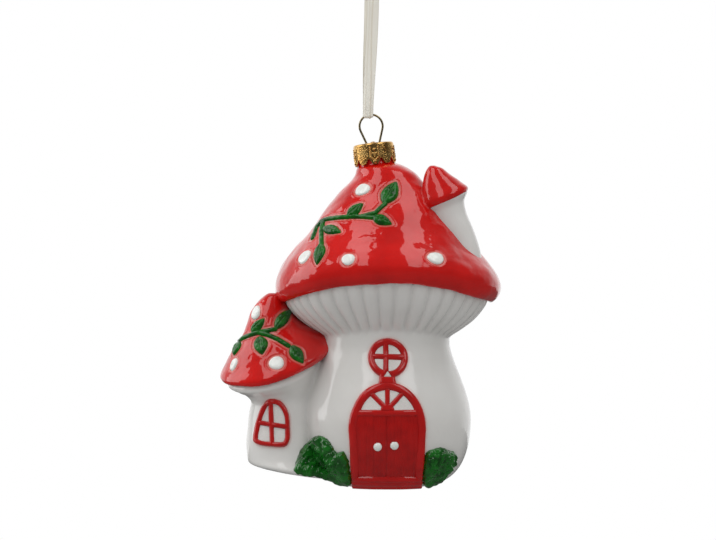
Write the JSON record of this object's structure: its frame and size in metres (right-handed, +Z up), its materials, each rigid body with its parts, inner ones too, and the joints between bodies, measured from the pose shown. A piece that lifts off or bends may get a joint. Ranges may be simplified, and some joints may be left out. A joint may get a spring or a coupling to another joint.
{
  "type": "hanging mushroom house ornament",
  "caption": "Hollow glazed toadstool house with a small annex and chimney toadstool, hung by a stamped metal crown, a spring wire ring and a looped ribbon.",
  "frame": {"origin": "inside top of the ribbon loop, where the ornament hangs on a branch or hook", "axes": "+X to the viewer's right, +Y away from the viewer behind the door's wall, +Z up"},
  "size_m": [0.0894, 0.0614, 0.1693],
  "materials": {
    "white_glaze": "glossy off-white glaze over moulded earthenware",
    "red_glaze": "high-gloss deep red glaze",
    "red_enamel": "glossy brush-painted red enamel on raised relief",
    "dark_red_enamel": "glossy darker red enamel",
    "white_enamel": "white enamel drop with a fine glitter",
    "glitter_pane": "white pane with a fine glitter",
    "green_enamel": "glossy dark green enamel",
    "gold_crown": "stamped bright gold-coloured sheet",
    "spring_wire": "dark bronze-coloured spring wire",
    "satin_ribbon": "ivory woven satin ribbon"
  },
  "bodies": {
    "ribbon_loop": {"ribbon": "satin_ribbon", "ribbon_knot": "satin_ribbon"},
    "hanger": {"hanger_wire": "spring_wire"},
    "crown": {"crown": "gold_crown"},
    "house": {"main_stem": "white_glaze", "main_gills": "white_glaze", "annex_stem": "white_glaze", "dormer_stem": "white_glaze", "main_cap": "red_glaze", "annex_cap": "red_glaze", "dormer_cap": "red_glaze", "door_frame": "red_enamel", "door_leaves": "dark_red_enamel", "door_step": "red_enamel", "fanlight_bars": "red_enamel", "fanlight_panes": "glitter_pane", "door_knobs": "white_enamel", "round_window_frame": "red_enamel", "round_window_panes": "glitter_pane", "annex_window_frame": "red_enamel", "annex_window_panes": "glitter_pane", "bush_left": "green_enamel", "bush_right": "green_enamel", "main_vine": "green_enamel", "annex_vine": "green_enamel", "main_cap_dots": "white_enamel", "annex_cap_dots": "white_enamel"}
  },
  "joints": [
    {"name": "hanger_swing", "type": "hinge", "parent": "ribbon_loop", "child": "hanger", "pos_m": [-0.00033, 0, -0.04418], "axis": [0, 1, 0], "range_deg": [-60, 60]},
    {"name": "crown_rock", "type": "hinge", "parent": "hanger", "child": "crown", "pos_m": [0.00033, 0, -0.04994], "axis": [0.9936, 0, 0.1132], "range_deg": [-8, 8]},
    {"name": "house_turn", "type": "hinge", "parent": "crown", "child": "house", "pos_m": [0.0011, 0, -0.0567], "axis": [-0.1132, 0, 0.9936], "continuous": true}
  ]
}
